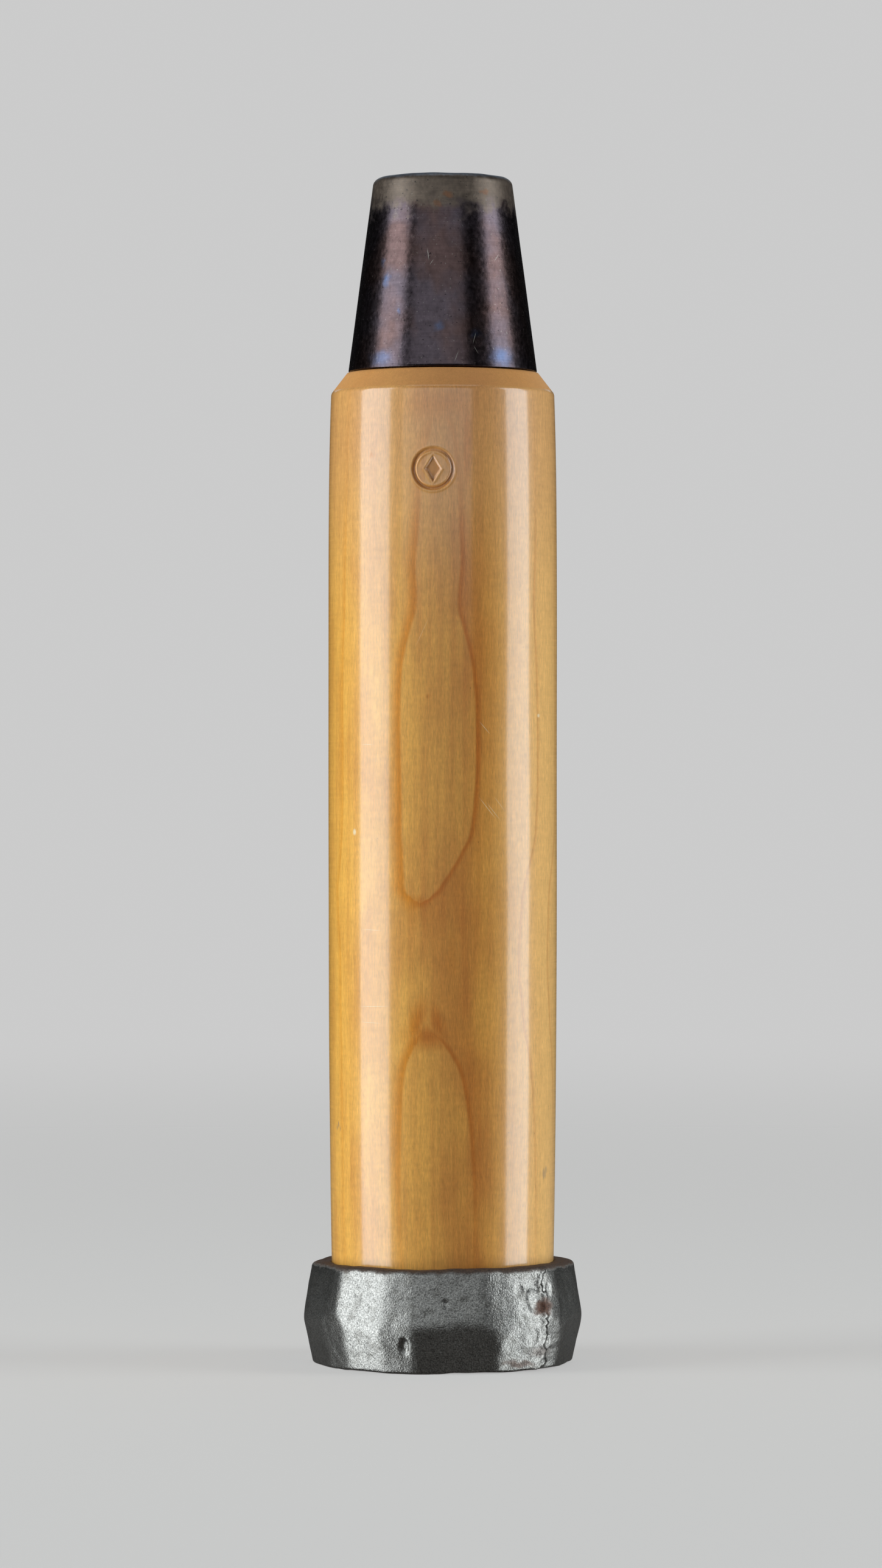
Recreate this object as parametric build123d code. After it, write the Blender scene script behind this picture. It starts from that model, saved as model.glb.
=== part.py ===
"""Striking handle for a Japanese carving chisel, in millimetres.

The handle stands on its hooped striking end, +Z up, with its origin at the centre of that end.
Three separate pieces make it: a turned boxwood grip, a tapered steel ferrule driven over the grip's
nose, and a forged iron hoop driven onto its striking end. The tang of a blade goes into the bore in
the nose. Front is -Y, the side that carries the pressed mark.
"""

import os
from math import atan2, cos, degrees, radians, sin

from build123d import *

# Overall
total_length = 140.0

# Hoop, forged from bar: a ring with a ridge round its middle and hammered flats above and below it
hoop_height = 12.2
hoop_ridge_height = 5.4
hoop_ridge_radius = 16.5
hoop_top_radius = 15.4
hoop_bottom_radius = 15.35
hoop_edge_break = 0.35
hoop_flats = 10
flat_depth = 0.62  # how far the middle of a flat lies inside the ridge circle
flat_depth_wander = 0.10
flat_angle_wander = 3.0  # degrees

# Grip, turned with a slight barrel shape
hoop_seat_top_radius = 13.15
hoop_seat_end_radius = 12.8
striking_face_recess = 0.6
striking_edge_round = 0.9
belly_radius = 13.5
belly_height = 68.0
lower_swell = (13.37, 27.0)  # radius, height
upper_swell = (13.42, 102.5)
shoulder_corner_radius = 13.15
shoulder_corner_height = 114.6
shoulder_corner_round = 0.8
shoulder_height = 116.9
shoulder_radius = 11.3

# Nose of the grip, and the ferrule over it
nose_root_radius = 9.6
nose_tip_radius = 6.15
nose_tip_below_rim = 0.9
nose_tip_chamfer = 0.3
shoulder_gap = 0.15  # the ferrule jams on the nose just before it meets the shoulder
ferrule_root_radius = 11.15
ferrule_rim_radius = 8.15
ferrule_rim_round = 0.9
ferrule_mouth_chamfer = 0.3

# Bore for the tang, drilled down the nose
tang_bore_radius = 3.25
tang_bore_depth = 42.0
drill_point_angle = 118.0

# Pressed mark on the front: a plain ring round a plain lozenge
mark_height = 105.0
mark_angle = -4.8  # degrees round from the front, to the left
mark_ring_radius = 2.5
mark_line_width = 0.45
mark_lozenge_width = 1.9
mark_lozenge_height = 3.0
mark_depth = 0.3

# Places worked out from the sizes above
ferrule_base_height = shoulder_height + shoulder_gap
nose_tip_height = total_length - nose_tip_below_rim
nose_slope = (nose_root_radius - nose_tip_radius) / (nose_tip_height - shoulder_height)
ferrule_inner_root = nose_root_radius - nose_slope * shoulder_gap
ferrule_inner_rim = nose_tip_radius - nose_slope * nose_tip_below_rim


def spun(outline):
    """The solid that a closed outline in the XZ plane turns about the Z axis."""
    return revolve(make_face(outline), axis=Axis.Z)


def turned_grip():
    """The grip with its nose and its hoop seat, before the bore and the mark."""
    end = (0, striking_face_recess)
    end_edge = (hoop_seat_end_radius - striking_edge_round, striking_face_recess)
    seat_start = (hoop_seat_end_radius, striking_face_recess + striking_edge_round)
    seat_top = (hoop_seat_top_radius, hoop_height)
    corner_start = (shoulder_corner_radius, shoulder_corner_height - shoulder_corner_round)
    slope = atan2(shoulder_corner_radius - shoulder_radius, shoulder_height - shoulder_corner_height)
    corner_end = (
        shoulder_corner_radius - shoulder_corner_round * sin(slope),
        shoulder_corner_height + shoulder_corner_round * cos(slope),
    )
    outline = [
        Line(end, end_edge),
        TangentArc(end_edge, seat_start, tangent=(1, 0)),
        Line(seat_start, seat_top),
        Spline(seat_top, lower_swell, (belly_radius, belly_height), upper_swell, corner_start),
        TangentArc(corner_start, corner_end, tangent=(0, 1)),
        Polyline(
            corner_end,
            (shoulder_radius, shoulder_height),
            (nose_root_radius, shoulder_height),
            (nose_tip_radius + nose_slope * nose_tip_chamfer, nose_tip_height - nose_tip_chamfer),
            (nose_tip_radius - nose_tip_chamfer, nose_tip_height),
            (0, nose_tip_height),
            end,
        ),
    ]
    return spun([Plane.XZ * edge for edge in outline])


def tang_bore():
    """The drilled hole, with the cone that a twist drill leaves at its end."""
    point_length = tang_bore_radius / sin(radians(drill_point_angle / 2)) * cos(radians(drill_point_angle / 2))
    floor = nose_tip_height - tang_bore_depth
    outline = Polyline(
        (0, floor - point_length),
        (tang_bore_radius, floor),
        (tang_bore_radius, total_length),
        (0, total_length),
        close=True,
    )
    return spun(Plane.XZ * outline)


def pressed_mark():
    """The mark's grooves as a thin curved layer, even in depth over the round of the grip."""
    outer = Circle(mark_ring_radius)
    inner = Circle(mark_ring_radius - mark_line_width)
    half_w = mark_lozenge_width / 2
    half_h = mark_lozenge_height / 2
    lozenge = make_face(Polyline((half_w, 0), (0, half_h), (-half_w, 0), (0, -half_h), close=True))
    front = Plane(origin=(0, 0, mark_height), x_dir=(1, 0, 0), z_dir=(0, -1, 0))
    prism = extrude(front * (outer - inner + lozenge), belly_radius + 1)
    layer = Cylinder(belly_radius + 1, 4 * mark_ring_radius) - Cylinder(
        upper_swell[0] - mark_depth, 4 * mark_ring_radius
    )
    return Rot(0, 0, mark_angle) * (prism & (Pos(0, 0, mark_height) * layer))


def grip():
    return turned_grip() - tang_bore() - pressed_mark()


def ferrule():
    """The tapered steel tube over the nose. Its inner cone is the nose's own."""
    slant = atan2(
        ferrule_root_radius - ferrule_rim_radius, total_length - ferrule_base_height
    )
    rim_start = (
        ferrule_rim_radius + ferrule_rim_round * sin(slant),
        total_length - ferrule_rim_round * cos(slant),
    )
    rim_end = (ferrule_rim_radius - ferrule_rim_round, total_length)
    outline = [
        Line((ferrule_inner_root, ferrule_base_height), (ferrule_root_radius, ferrule_base_height)),
        Line((ferrule_root_radius, ferrule_base_height), rim_start),
        TangentArc(rim_start, rim_end, tangent=(-sin(slant), cos(slant))),
        Polyline(
            rim_end,
            (ferrule_inner_rim + ferrule_mouth_chamfer, total_length),
            (
                ferrule_inner_rim + nose_slope * ferrule_mouth_chamfer,
                total_length - ferrule_mouth_chamfer,
            ),
            (ferrule_inner_root, ferrule_base_height),
        ),
    ]
    return spun([Plane.XZ * edge for edge in outline])


def hammered_flat(turn, apothem, tilt):
    """A block whose inner face is one hammered flat, tilted up or down from the ridge."""
    outward = (
        sin(radians(turn)) * cos(radians(tilt)),
        -cos(radians(turn)) * cos(radians(tilt)),
        sin(radians(tilt)),
    )
    on_ridge = (apothem * sin(radians(turn)), -apothem * cos(radians(turn)), hoop_ridge_height)
    side = 3 * hoop_ridge_radius
    block = Box(side, side, hoop_ridge_radius, align=(Align.CENTER, Align.CENTER, Align.MIN))
    return Plane(origin=on_ridge, z_dir=outward) * block


def hoop():
    """The forged ring: a two-slope barrel with uneven flats hammered into both slopes."""
    outline = Polyline(
        (hoop_seat_end_radius, 0),
        (hoop_bottom_radius - hoop_edge_break, 0),
        (hoop_bottom_radius, hoop_edge_break),
        (hoop_ridge_radius, hoop_ridge_height),
        (hoop_top_radius, hoop_height - hoop_edge_break),
        (hoop_top_radius - hoop_edge_break, hoop_height),
        (hoop_seat_top_radius, hoop_height),
        (hoop_seat_end_radius, striking_face_recess + striking_edge_round),
        close=True,
    )
    ring = spun(Plane.XZ * outline)
    upper_tilt = degrees(atan2(hoop_ridge_radius - hoop_top_radius, hoop_height - hoop_ridge_height))
    lower_tilt = -degrees(atan2(hoop_ridge_radius - hoop_bottom_radius, hoop_ridge_height))
    for i in range(hoop_flats):
        turn = i * 360 / hoop_flats
        for tilt, phase in ((upper_tilt, 0.4), (lower_tilt, 1.9)):
            wander = sin(2.4 * i + phase)
            apothem = hoop_ridge_radius - flat_depth - flat_depth_wander * wander
            ring -= hammered_flat(turn + flat_angle_wander * wander, apothem, tilt)
    return ring


pieces = {"grip": grip, "ferrule": ferrule, "hoop": hoop}

os.makedirs("parts", exist_ok=True)
for node, make in pieces.items():
    export_step(make(), f"parts/{node}.step")
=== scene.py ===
import math

import bmesh
import bpy
import numpy as np
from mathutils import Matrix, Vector, noise


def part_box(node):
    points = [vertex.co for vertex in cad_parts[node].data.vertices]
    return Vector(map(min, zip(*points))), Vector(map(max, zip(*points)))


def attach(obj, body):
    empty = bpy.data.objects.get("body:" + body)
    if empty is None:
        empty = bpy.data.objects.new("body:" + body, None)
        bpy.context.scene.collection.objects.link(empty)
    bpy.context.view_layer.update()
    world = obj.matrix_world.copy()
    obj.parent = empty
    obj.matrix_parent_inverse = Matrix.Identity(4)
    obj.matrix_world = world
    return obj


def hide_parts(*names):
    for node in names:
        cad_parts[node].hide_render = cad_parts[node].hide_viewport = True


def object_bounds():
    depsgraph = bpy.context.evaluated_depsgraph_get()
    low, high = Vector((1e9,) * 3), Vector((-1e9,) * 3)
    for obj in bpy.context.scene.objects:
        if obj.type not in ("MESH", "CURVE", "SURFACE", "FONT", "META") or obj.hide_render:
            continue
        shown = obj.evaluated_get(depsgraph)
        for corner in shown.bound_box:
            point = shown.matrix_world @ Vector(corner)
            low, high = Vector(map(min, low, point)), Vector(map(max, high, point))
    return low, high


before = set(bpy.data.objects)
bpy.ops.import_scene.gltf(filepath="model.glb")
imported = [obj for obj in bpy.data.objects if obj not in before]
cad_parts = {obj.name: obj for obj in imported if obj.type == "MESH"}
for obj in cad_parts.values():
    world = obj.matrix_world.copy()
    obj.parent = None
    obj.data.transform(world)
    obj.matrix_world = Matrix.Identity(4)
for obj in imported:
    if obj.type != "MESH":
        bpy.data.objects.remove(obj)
cadLow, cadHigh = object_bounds()
mm = 0.001
print("frame loaded")


def linear(hexColour):
    parts = [int(hexColour[i : i + 2], 16) / 255 for i in (1, 3, 5)]
    return [p / 12.92 if p <= 0.04045 else ((p + 0.055) / 1.055) ** 2.4 for p in parts] + [1.0]


def addNode(tree, kind, inputs=(), **settings):
    # inputs are socket names or places, each with a value, a socket, or a node whose first output is linked
    node = tree.nodes.new(kind)
    for name, value in settings.items():
        setattr(node, name, value)
    for name, value in inputs.items() if isinstance(inputs, dict) else enumerate(inputs):
        named = [s for s in node.inputs if s.name == name and s.enabled]
        socket = named[0] if named else node.inputs[name]
        if isinstance(value, bpy.types.Node):
            value = next(s for s in value.outputs if s.enabled)
        if isinstance(value, bpy.types.NodeSocket):
            tree.links.new(value, socket)
        else:
            socket.default_value = value
    return node


def newMaterial(name):
    material = bpy.data.materials.new(name)
    material.use_nodes = True
    material.node_tree.nodes.clear()
    return material, material.node_tree


def makeObject(name, data, material=None):
    made = bpy.data.objects.new(name, data)
    bpy.context.scene.collection.objects.link(made)
    if material:
        data.materials.append(material)
    return made


camera = {
    "distance": 700 * mm,  # from the handle's axis
    "lens": 135.9,
    "sensor": 36,
    "nearest": 0.01,
    "height": 68.4 * mm,
    "side": -0.2 * mm,
}


def makeCamera():
    data = bpy.data.cameras.new("camera")
    data.lens = camera["lens"]
    data.sensor_width = camera["sensor"]
    data.clip_start = camera["nearest"]
    eye = makeObject("camera", data)
    eye.location = (camera["side"], -camera["distance"], camera["height"])
    eye.rotation_euler = (math.radians(90), 0, 0)
    bpy.context.scene.camera = eye


makeCamera()
print("camera placed")


studio = {
    "floorColour": "#948f88",
    "floorGlow": 0.40,
    "floorInMetal": 0.08,  # the metal mirrors a dark room and the boxes, with little of the paper
    "floorRadius": 2.0,
    "floorSides": 128,
    "fadeFrom": 0.12,  # metres from the axis; the floor fades into the backdrop
    "fadeTo": 0.9,
    "backdrop": 0.60,
    "ambient": 0.07,  # what the rest of the room adds to soft shading
    "dark": 0.008,  # what it adds to reflections
    "daylight": (0.88, 1.0, 1.10),
}

# each box: degrees round from the front, positive to the right, its distance, width, height and middle
# height in metres, its brightness, and whether it lights soft surfaces and shows in shiny ones
softboxes = {
    "leftBox": (-73, 0.60, 0.39, 1.0, 0.06, 4.9, True, True),
    "rightBox": (82, 0.60, 0.31, 1.0, 0.06, 5.0, True, True),
    "frontPanel": (-6, 1.60, 2.3, 0.9, 0.62, 1.3, False, True),
    "frontFill": (-20, 1.60, 1.6, 1.2, 0.4, 0.5, True, False),
    "backPanel": (180, 1.60, 1.6, 0.9, 0.95, 0.5, False, True),
    "backFill": (180, 1.60, 1.6, 1.2, 0.5, 0.9, True, False),
    "overhead": (0, 0, 1.0, 1.0, 1.35, 0.9, True, True),  # with no distance it looks straight down
}


def makeSoftbox(name, azimuth, distance, width, height, middle, brightness, lights, shows):
    data = bpy.data.lights.new(name, "AREA")
    data.shape = "RECTANGLE"
    data.size, data.size_y = width, height
    data.energy = brightness * math.pi * width * height
    data.color = studio["daylight"]
    light = makeObject(name, data)
    turn = math.radians(azimuth)
    light.location = (distance * math.sin(turn), -distance * math.cos(turn), middle)
    light.rotation_euler = (math.radians(90) if distance else 0, 0, turn)
    light.visible_camera = False
    light.visible_diffuse = lights
    light.visible_glossy = shows


def makeFloor():
    mesh = bpy.data.meshes.new("floor")
    shape = bmesh.new()
    size = {"segments": studio["floorSides"], "radius": studio["floorRadius"]}
    bmesh.ops.create_circle(shape, cap_ends=True, **size)
    shape.to_mesh(mesh)
    shape.free()
    material, tree = newMaterial("pale paper, matt")
    place = addNode(tree, "ShaderNodeTexCoord").outputs["Object"]
    away = addNode(tree, "ShaderNodeVectorMath", [place], operation="LENGTH").outputs["Value"]
    fade = addNode(
        tree,
        "ShaderNodeMapRange",
        {"Value": away, "From Min": studio["fadeFrom"], "From Max": studio["fadeTo"]},
        interpolation_type="SMOOTHSTEP",
    )
    shaded = addNode(tree, "ShaderNodeBsdfDiffuse", {"Color": linear(studio["floorColour"])})
    glow = addNode(tree, "ShaderNodeEmission", {"Strength": studio["floorGlow"]})
    paper = addNode(tree, "ShaderNodeAddShader", [shaded, glow])  # even, with a soft shadow at the hoop
    clear = addNode(tree, "ShaderNodeBsdfTransparent")
    dim = addNode(tree, "ShaderNodeEmission", {"Strength": studio["floorInMetal"]})
    faint = addNode(tree, "ShaderNodeAddShader", [clear, dim])
    mirrored = addNode(tree, "ShaderNodeLightPath").outputs["Is Glossy Ray"]
    paper = addNode(tree, "ShaderNodeMixShader", [mirrored, paper, faint])
    below = addNode(tree, "ShaderNodeNewGeometry").outputs["Backfacing"]  # it hides nothing from underneath
    unseen = addNode(tree, "ShaderNodeMath", [fade, below], operation="MAXIMUM")
    whole = addNode(tree, "ShaderNodeMixShader", [unseen, paper, clear])
    addNode(tree, "ShaderNodeOutputMaterial", [whole])
    floor = makeObject("floor", mesh, material)
    floor.location.z = cadLow.z
    floor.visible_diffuse = False
    floor.visible_shadow = False


def makeWorld():
    world = bpy.data.worlds.new("studio")
    world.use_nodes = True
    tree = world.node_tree
    tree.nodes.clear()
    ray = addNode(tree, "ShaderNodeLightPath")
    dark, ambient, backdrop = (
        addNode(tree, "ShaderNodeBackground", {"Color": [studio[k]] * 3 + [1]})
        for k in ("dark", "ambient", "backdrop")
    )
    room = addNode(tree, "ShaderNodeMixShader", [ray.outputs["Is Diffuse Ray"], dark, ambient])
    seen = addNode(tree, "ShaderNodeMixShader", [ray.outputs["Is Camera Ray"], room, backdrop])
    addNode(tree, "ShaderNodeOutputWorld", [seen])
    bpy.context.scene.world = world


for name, box in softboxes.items():
    makeSoftbox(name, *box)
makeFloor()
makeWorld()
bpy.context.scene.view_settings.view_transform = "Standard"
print("studio lit")


def spaced(start, end, step):
    count = max(1, round(abs(end - start) / step))
    return [start + (end - start) * i / count for i in range(count + 1)]


def between(start, end, share):
    # points along a straight line, a share of it apart
    (a, b), (c, d) = start, end
    return [(a + (c - a) * s, b + (d - b) * s) for s in spaced(0, 1, share)]


def arcPoints(centre, radii, fromDegrees, toDegrees, steps):
    angles = [math.radians(a) for a in spaced(fromDegrees, toDegrees, abs(toDegrees - fromDegrees) / steps)]
    return [(centre[0] + radii[0] * math.cos(a), centre[1] + radii[1] * math.sin(a)) for a in angles]


def softStep(value, low, high):
    share = np.clip((value - low) / (high - low), 0, 1)
    return share * share * (3 - 2 * share)


def lathe(name, outline, turns, material, closed=False):
    # the outline, in mm, runs outward and up, so that the faces point out of the work
    shape = bmesh.new()
    rings = []
    for radius, height in outline:
        angles = turns if radius > 0 else turns[:1]  # one point where the outline meets the axis
        corners = [(radius * math.sin(a), -radius * math.cos(a)) for a in angles]
        rings.append([shape.verts.new((x * mm, y * mm, height * mm)) for x, y in corners])
    pairs = list(zip(rings, rings[1:])) + ([(rings[-1], rings[0])] if closed else [])
    for low, high in pairs:
        for i in range(len(turns)):
            j = (i + 1) % len(turns)
            if len(low) == 1:
                shape.faces.new((low[0], high[j], high[i]))
            elif len(high) == 1:
                shape.faces.new((low[i], low[j], high[0]))
            else:
                shape.faces.new((low[i], low[j], high[j], high[i]))
    mesh = bpy.data.meshes.new(name)
    shape.to_mesh(mesh)
    shape.free()
    mesh.polygons.foreach_set("use_smooth", [True] * len(mesh.polygons))
    return makeObject(name, mesh, material)


def readPoints(mesh):
    points = np.empty(len(mesh.vertices) * 3)
    mesh.vertices.foreach_get("co", points)
    return points.reshape(-1, 3) / mm


def writePoints(mesh, points):
    mesh.vertices.foreach_set("co", (points * mm).ravel())
    mesh.update()


def unevenness(points, grain, seed):
    # smooth noise between about -1 and 1, its lumps about one grain across, in mm
    shift = Vector((seed * 7.1, seed * 3.7, seed * 5.3))
    return np.array([noise.noise(Vector(p) + shift) for p in points / grain])


def findPlace(tree):
    # a point's place on the piece, in mm
    metres = addNode(tree, "ShaderNodeTexCoord").outputs["Object"]
    return addNode(tree, "ShaderNodeVectorMath", [metres, (1000, 1000, 1000)], operation="MULTIPLY")


def spreadGrain(tree, place, sizes, detail):
    # one noise for each name, its lumps as wide, deep and tall in mm as the size says
    grain = {}
    for name, (width, depth, height) in sizes.items():
        scale = (1 / width, 1 / depth, 1 / height)
        vector = addNode(tree, "ShaderNodeVectorMath", [place, scale], operation="MULTIPLY")
        grain[name] = addNode(tree, "ShaderNodeTexNoise", {"Vector": vector, "Scale": 1.0, "Detail": detail})
    return grain


def stirPlace(tree, place, noise, sideways, upward):
    # shifts the place by up to half of these mm each way, so that a mark's edge is ragged
    stir = addNode(tree, "ShaderNodeVectorMath", [noise, (sideways, 0, upward)], operation="MULTIPLY")
    stirred = addNode(tree, "ShaderNodeVectorMath", [place, stir], operation="ADD")
    middle = (sideways / 2, 0, upward / 2)
    return addNode(tree, "ShaderNodeVectorMath", [stirred, middle], operation="SUBTRACT")


def spreadPatches(tree, grain, patches):
    # how much of the surface's colour each patch takes over
    covers = {}
    for name, (noiseName, start, full, most) in patches.items():
        values = {"Value": grain[noiseName], "From Min": start, "From Max": full, "To Max": most}
        covers[name] = addNode(tree, "ShaderNodeMapRange", values)
    return covers


def layTones(tree, colour, finish, layers):
    # each layer covers its share of what is under it
    for share, tone in layers:
        over = linear(finish[tone]) if isinstance(tone, str) else tone
        colour = addNode(tree, "ShaderNodeMix", {"Factor": share, "A": colour, "B": over}, data_type="RGBA")
    return colour


def varyShade(tree, colour, grain, shades):
    # each noise takes the colour from its darkest share to its lightest
    for name, (least, most) in shades.items():
        values = {"Value": grain[name], "From Min": 0.3, "From Max": 0.7, "To Min": least, "To Max": most}
        shade = addNode(tree, "ShaderNodeMapRange", values)
        colour = addNode(tree, "ShaderNodeVectorMath", {0: colour, "Scale": shade}, operation="SCALE")
    return colour


def raiseGrain(tree, grain, relief):
    # one relief on another, each with its strength and its depth in mm
    bump = None
    for name, (strength, depth) in relief.items():
        values = {"Strength": strength, "Distance": depth * mm, "Height": grain[name]}
        if bump:
            values["Normal"] = bump
        bump = addNode(tree, "ShaderNodeBump", values)
    return bump


def coverMarks(tree, place, marks, hardness=0.0):
    # ovals on the front: place across and up, half width, half height, tilt in degrees, strength
    cover = None
    for across, up, halfWidth, halfHeight, tilt, strength in marks:
        offset = addNode(tree, "ShaderNodeVectorMath", [place, (across, 0, up)], operation="SUBTRACT")
        values = {"Vector": offset, "Angle": math.radians(-tilt)}
        turned = addNode(tree, "ShaderNodeVectorRotate", values, rotation_type="Y_AXIS")
        shape = (1 / halfWidth, 0, 1 / halfHeight)
        shrunk = addNode(tree, "ShaderNodeVectorMath", [turned, shape], operation="MULTIPLY")
        away = addNode(tree, "ShaderNodeVectorMath", [shrunk], operation="LENGTH").outputs["Value"]
        values = {"Value": away, "From Min": 1.0, "From Max": hardness, "To Max": strength}
        oval = addNode(tree, "ShaderNodeMapRange", values, interpolation_type="SMOOTHSTEP")
        cover = addNode(tree, "ShaderNodeMath", [cover, oval], operation="MAXIMUM") if cover else oval
    depth = addNode(tree, "ShaderNodeSeparateXYZ", [place]).outputs["Y"]
    front = addNode(tree, "ShaderNodeMath", [depth, 0.0], operation="LESS_THAN")
    return addNode(tree, "ShaderNodeMath", [cover, front], operation="MULTIPLY")


boxwood = {
    "light": "#eaaa4b",
    "deep": "#c47c34",
    "late": "#b55e0f",  # the dark end of each ring
    "lateLeft": "#d27e0a",  # it is more orange left of the middle
    "sap": "#f0bb74",
    "pore": "#5a3413",
    "rawEnd": "#c4803f",
    "grime": "#6e4a2c",  # beaten into the struck end
    "tan": "#cd9460",  # the wood is paler and less golden towards the shoulder
    "knock": "#6f6a66",
    "scuff": "#ecd3a6",
    "ringSpacing": 4.3,  # mm
    "pith": 38.0,  # mm behind the axis, so the front is cut flat across the rings
    "frontRing": 51.5,  # mm from the pith to the ring that breaks the surface at the front
    # how far the rings bulge outward in mm, along the height in mm
    "swell": (
        (0, 0.95), (15, 0.87), (22, 0.79), (26, 0.71), (30, 0.6), (32.8, 0.5), (35.2, 0.38), (37.4, 0.2),
        (38.9, 0.09), (40.1, 0), (43.5, -0.14), (47.5, -0.3), (51, -0.16), (54, 0), (54.7, 0.035),
        (55.3, 0.09), (56.2, 0.16), (57.4, 0.21), (58.7, 0.28), (60.5, 0.38), (64, 0.53), (77, 0.61),
        (80.6, 0.56), (84, 0.44), (87, 0.28), (90, 0.19), (94, 0.22), (98, 0.21), (140, 0.24),
    ),
    # how far round their crest is turned, in degrees
    "lean": (
        (0, -2.5), (20, -3), (27, -3.8), (33, -5.2), (37.4, -6.8), (41, -9), (54, -11), (57.6, -8.8),
        (60.4, -5.6), (64, -3.3), (70, -2.4), (87, -3), (98, -2), (140, 0),
    ),
    # how strongly the dark lines show
    "strength": (
        (0, 1.3), (2, 1.3), (6, 0.3), (20, 0.62), (34, 0.95), (42, 1), (90, 1), (98, 0.75), (106, 0.3),
        (140, 0.25),
    ),
    "leftToRight": (-2.0, 2.0),  # mm across the front, over which a line changes from left to right
    "boldLeft": 0.86,
    "boldRight": 0.74,
    "coreLeft": 1.04,  # mm of dark line on the surface
    "coreRight": 0.5,
    "coreShare": 0.6,
    "shadeLeft": 1.28,  # mm of slow darkening before it
    "shadeRight": 6.0,
    "softEdge": 0.35,
    "shadeFade": (4.5, 7.5, 0.4, 0.05),  # from and to in mm from the middle, and the share there
    "lineFade": (7.0, 10.0, 1.0, 0.5),
    "leastRun": 0.045,  # a line doesn't vanish where the surface lies along the rings
    "waver": 0.14,  # how far the lines stray, broadly and then from fibre to fibre
    "feather": 0.048,
    "sizes": {
        "broad": (7.0, 7.0, 22.0),
        "feather": (0.5, 0.5, 6.0),
        "fibre": (0.2, 0.2, 2.6),  # fibres are finer in the wood, drawn as coarse as shows
        "hair": (0.09, 0.09, 0.7),
        "turning": (9.0, 9.0, 0.17),  # tool lines under the varnish, finer on the real one
        "ripple": (1.6, 1.6, 0.5),
        "streak": (0.9, 0.9, 30.0),
        "patch": (5.0, 5.0, 13.0),
        "pore": (0.15, 0.15, 0.4),
    },
    # the noise, where it starts to count and where it counts in full, and the most it covers
    "patches": {
        "streak": ("streak", 0.42, 0.66, 0.22),
        "grime": ("patch", 0.4, 0.62, 1.0),
        "pore": ("pore", 0.74, 0.8, 0.7),
    },
    "clouds": (0.35, 0.7, 0.36),  # how the broad patches of deeper tone come in
    # where a tone comes in along an axis: from and to in mm, and its share at each
    "zones": {
        "deep": ("X", -7.5, 3.0, 0.0, 0.48),
        "sap": ("X", 7.5, 12.5, 0.0, 0.75),
        "tan": ("Z", 82.0, 112.0, 0.0, 0.6),
    },
    "sharpZones": {
        "lessDeep": ("X", 4.0, 7.5, 1.0, 0.45),
        "right": ("X", -4.0, -2.0, 0.0, 1.0),
        "struck": ("Z", 1.6, 0.8, 0.0, 0.45),
    },
    "shades": {"fibre": (0.91, 1.08), "hair": (0.88, 1.15), "ripple": (0.96, 1.04)},
    # where the varnish shines less: the noise, where it starts to count and counts in full, the least shine
    "glossBreaks": (("hair", 0.3, 0.7, 0.84), ("turning", 0.35, 0.65, 0.84)),
    "relief": {"hair": (0.6, 0.014)},
    "stir": (1.2, 1.6),
    "grooveShade": 0.3,  # how dark the painted shade in the mark's groove is
    "onBare": 0.5,  # how far bare wood goes towards its raw tone
    "varnished": 12.97,  # mm from the axis: the chamfer, the nose and the struck end are bare
    "roughness": 0.36,
    "bareRoughness": 0.25,  # more than under the varnish
    "specular": 0.3,
    "coatRoughness": 0.13,
    "coatIor": 1.5,
    "smudges": (
        (-3.0, 40.6, 1.8, 4.6, 12, 0.85), (-0.6, 40.7, 1.6, 4.3, -8, 0.8), (-1.8, 39.1, 4.4, 2.5, 0, 0.8),
        (-2.6, 54.5, 2.8, 1.3, 0, 0.55), (0.9, 48.5, 1.6, 7.0, 0, 0.36),
        (-0.5, 112.6, 6.5, 3.4, 0, 0.34), (-1.7, 78.6, 0.5, 0.4, 20, 0.5), (2.8, 108, 1.0, 9.0, 0, 0.4),
        (-8.2, 106.7, 0.3, 0.5, 15, 0.8), (-8.6, 105.6, 0.2, 0.35, 0, 0.6),
    ),
    "knocks": ((11.9, 22.9, 0.25, 0.8, 0, 0.4), (-12.3, 28.3, 0.2, 0.5, 0, 0.6)),
    "scuffs": (
        (5.2, 65.6, 0.05, 1.9, -38, 0.7), (5.9, 65.2, 0.05, 1.6, -38, 0.6), (6.6, 66.1, 0.04, 1.3, -36, 0.5),
        (4.9, 74.9, 0.05, 1.2, -40, 0.6), (-2.4, 86.0, 0.04, 2.4, 25, 0.35), (-8.8, 73.0, 0.9, 0.035, 3, 0.6),
        (-8.3, 51.4, 1.4, 0.04, 2, 0.6), (-8.0, 42.5, 2.0, 0.04, -2, 0.7), (-8.4, 40.6, 1.5, 0.04, 3, 0.6),
        (-10.3, 62.8, 0.25, 0.5, 0, 0.9), (11.2, 76.4, 0.2, 0.3, 0, 0.8),
    ),
}


def followCurve(tree, height, name):
    # a value that changes along the grip's height, smooth between its points
    heights, values = zip(*boxwood[name])
    low, high, top = min(values), max(values), heights[-1]
    along = addNode(tree, "ShaderNodeMath", [height, top], operation="DIVIDE")
    curve = addNode(tree, "ShaderNodeFloatCurve", {"Value": along})
    points = curve.mapping.curves[0].points
    while len(points) < len(values):
        points.new(0.5, 0.5)
    for point, z, value in zip(points, heights, values):
        point.location = (z / top, (value - low) / (high - low))
    curve.mapping.update()
    return addNode(tree, "ShaderNodeMapRange", {"Value": curve, "To Min": low, "To Max": high})


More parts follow.
